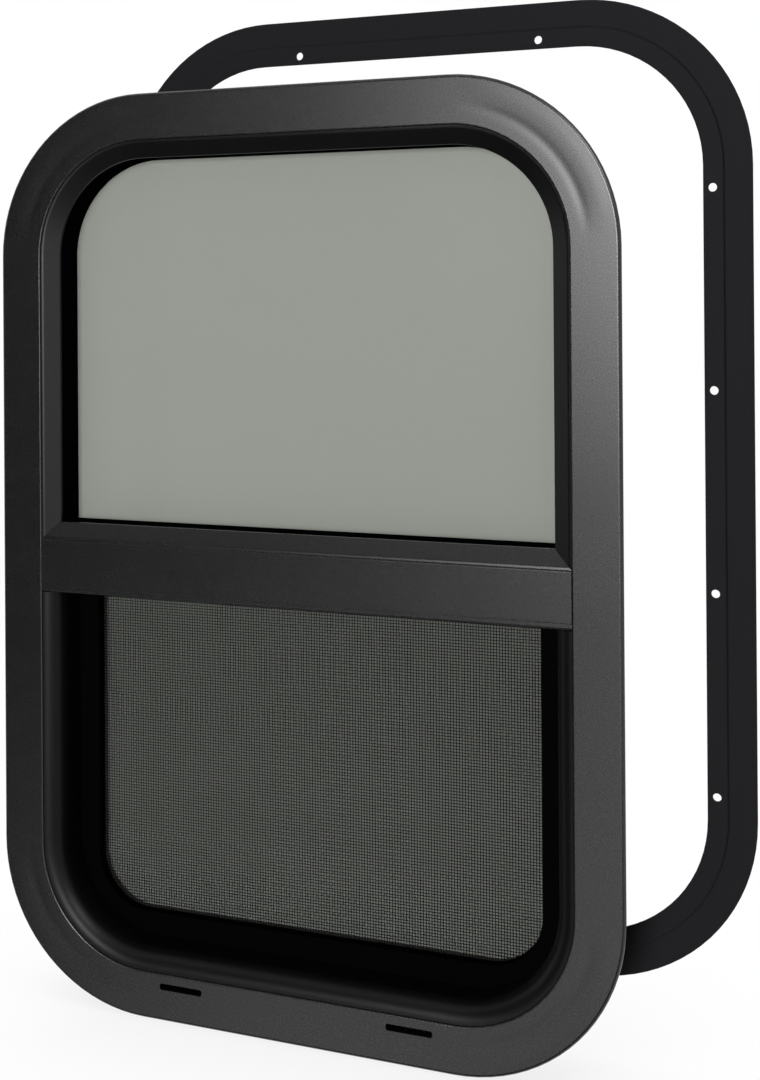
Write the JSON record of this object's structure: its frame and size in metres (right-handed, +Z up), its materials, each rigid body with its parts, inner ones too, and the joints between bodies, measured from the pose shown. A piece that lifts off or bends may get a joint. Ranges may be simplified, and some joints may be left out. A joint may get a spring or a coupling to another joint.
{
  "type": "caravan window",
  "caption": "Round-cornered black caravan window: flanged frame, fixed tinted pane over a crossbar, insect screen and sliding pane below, inside trim ring taken off.",
  "frame": {"origin": "on the back face of the outer flange, in the middle of its bottom edge, 7 mm in from the outer edge", "axes": "+Z up, +Y into the wall, +X to the right seen from outside"},
  "size_m": [0.4716, 0.0529, 0.6251],
  "materials": {
    "frame_black": "satin black anodised, bent extrusion",
    "bar_black": "satin black anodised",
    "ring_black": "satin black powder coat",
    "screen_black": "matt black painted roll-formed strip",
    "glass_fixed": "tinted safety glass",
    "glass_sliding": "dark tinted safety glass",
    "bead_black": "satin black extruded bead",
    "seal_rubber": "matt black seal",
    "pile": "short woven pile",
    "mesh": "coated glass-fibre insect mesh",
    "latch_plastic": "moulded black plastic"
  },
  "bodies": {
    "root": {"outer_frame": "frame_black", "upper_glass": "glass_fixed", "upper_bead": "bead_black", "upper_tape": "seal_rubber", "upper_rear_seal": "seal_rubber", "crossbar": "bar_black", "upper_gasket": "seal_rubber", "lower_bead": "bead_black", "screen_frame": "screen_black", "screen_top_rail": "screen_black", "screen_spline": "seal_rubber", "screen_mesh": "mesh", "screen_tab_left": "latch_plastic", "screen_tab_right": "latch_plastic", "sliding_glass": "glass_sliding", "sash_top_rail": "bar_black", "meeting_pile": "pile", "sash_pull_rail": "bar_black", "latch_left": "latch_plastic", "latch_right": "latch_plastic", "run_channel_left": "seal_rubber", "run_channel_right": "seal_rubber", "sill_seal": "seal_rubber", "trim_ring": "ring_black"}
  },
  "joints": []
}
